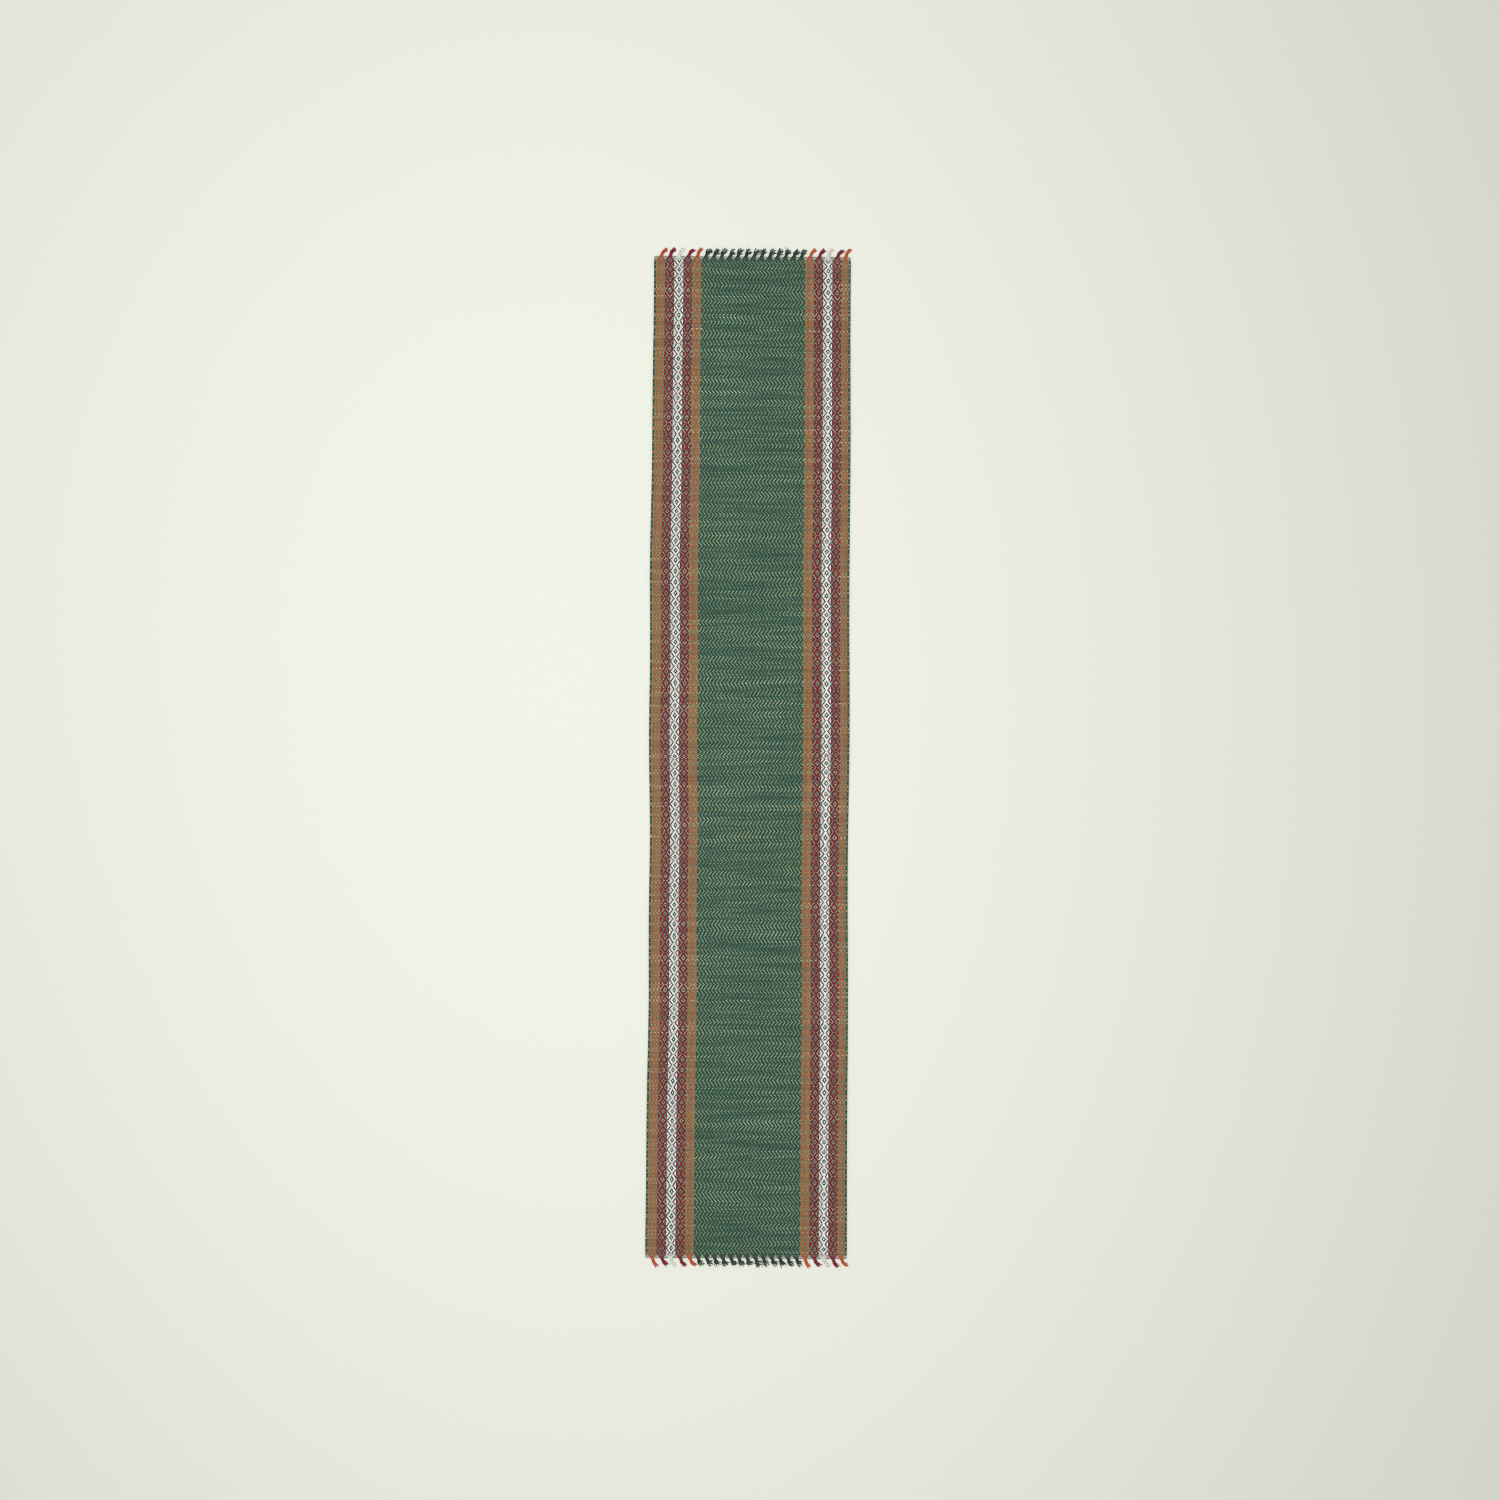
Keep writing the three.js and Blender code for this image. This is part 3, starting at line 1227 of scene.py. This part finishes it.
@dataclass(frozen=True)
class Studio:
    """A plain pale floor, soft light and a camera straight above."""

    floor_colour: str = "#eff0e6"
    floor_size: float = 60.0
    frame_width: float = 2.6925  # what the camera sees across at the floor
    lens: float = 100.0
    sensor: float = 36.0
    aim: tuple[float, float] = (1.35 * MM, 13.5 * MM)
    turn: float = 0.372  # degrees that the camera is turned about the vertical
    surround: float = 0.525  # strength of the light from all round
    sharpness: float = 1.0  # how wide the film's filter is

    def build(self) -> None:
        """Makes the floor, the lights and the camera."""
        self.floor()
        self.lights()
        self.camera()

    def floor(self) -> None:
        """Makes the floor that the runner lies on."""
        deselect_all()
        bpy.ops.mesh.primitive_plane_add(size=self.floor_size, location=(0, 0, -0.2 * MM))
        plane = bpy.context.object
        plane.name = "floor"
        # Matt painted board, which shows no gloss.
        material, node = new_material("plain_pale_floor")
        surface = node(
            "BsdfPrincipled",
            Roughness=0.95,
            **{"Base Color": linear(self.floor_colour), "Specular IOR Level": 0.0},
        )
        node("OutputMaterial", surface)
        dress(plane, material)
        plane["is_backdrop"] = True

    def lights(self) -> None:
        """Makes the soft surround, a soft box overhead and a weaker light low to the left."""
        world = bpy.data.worlds.new("soft_surround")
        bpy.context.scene.world = world
        world.use_nodes = True
        background = world.node_tree.nodes["Background"]
        background.inputs["Color"].default_value = linear("#fbfbf8")
        background.inputs["Strength"].default_value = self.surround
        for name, place, aim, length, power in (
            ("soft_box", (-0.24, 0.05, 2.6), (-0.24, 0.05, 0.0), 4.0, 44.0),
            ("side_light", (-2.6, 1.0, 2.6), (0.0, 0.0, 0.0), 1.0, 9.0),
        ):
            light = bpy.data.lights.new(name, "AREA")
            light.shape = "RECTANGLE"
            light.size = 1.0
            light.size_y = length
            light.energy = power
            lamp = bpy.data.objects.new(name, light)
            lamp.location = place
            towards = Vector(aim) - Vector(place)
            lamp.rotation_euler = towards.to_track_quat("-Z", "Y").to_euler()
            lamp.visible_camera = False
            bpy.context.collection.objects.link(lamp)

    def camera(self) -> None:
        """Makes the camera, looking straight down."""
        data = bpy.data.cameras.new("overhead_camera")
        data.lens = self.lens
        data.sensor_width = self.sensor
        data.clip_end = 100.0
        camera = bpy.data.objects.new("overhead_camera", data)
        height = self.frame_width * self.lens / self.sensor
        camera.location = (*self.aim, height)
        camera.rotation_euler = (0.0, 0.0, math.radians(self.turn))
        bpy.context.collection.objects.link(camera)
        bpy.context.scene.camera = camera
        bpy.context.scene.view_settings.view_transform = "Standard"
        bpy.context.scene.cycles.filter_width = self.sharpness
        bpy.context.scene.cycles.denoising_prefilter = "NONE"  # leaves single threads sharp


def main() -> None:
    """Builds the runner and its studio, and measures the frame's box and the visual box."""
    logging.basicConfig(level=logging.INFO, format="%(name)s: %(message)s")
    frame_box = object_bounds()
    Runner(Loom()).build()
    Studio().build()
    bpy.context.view_layer.update()
    boxes = {"frame": frame_box, "visual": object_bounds()}
    {name: [list(corner) for corner in box] for name, box in boxes.items()}


if __name__ == "__main__":
    main()
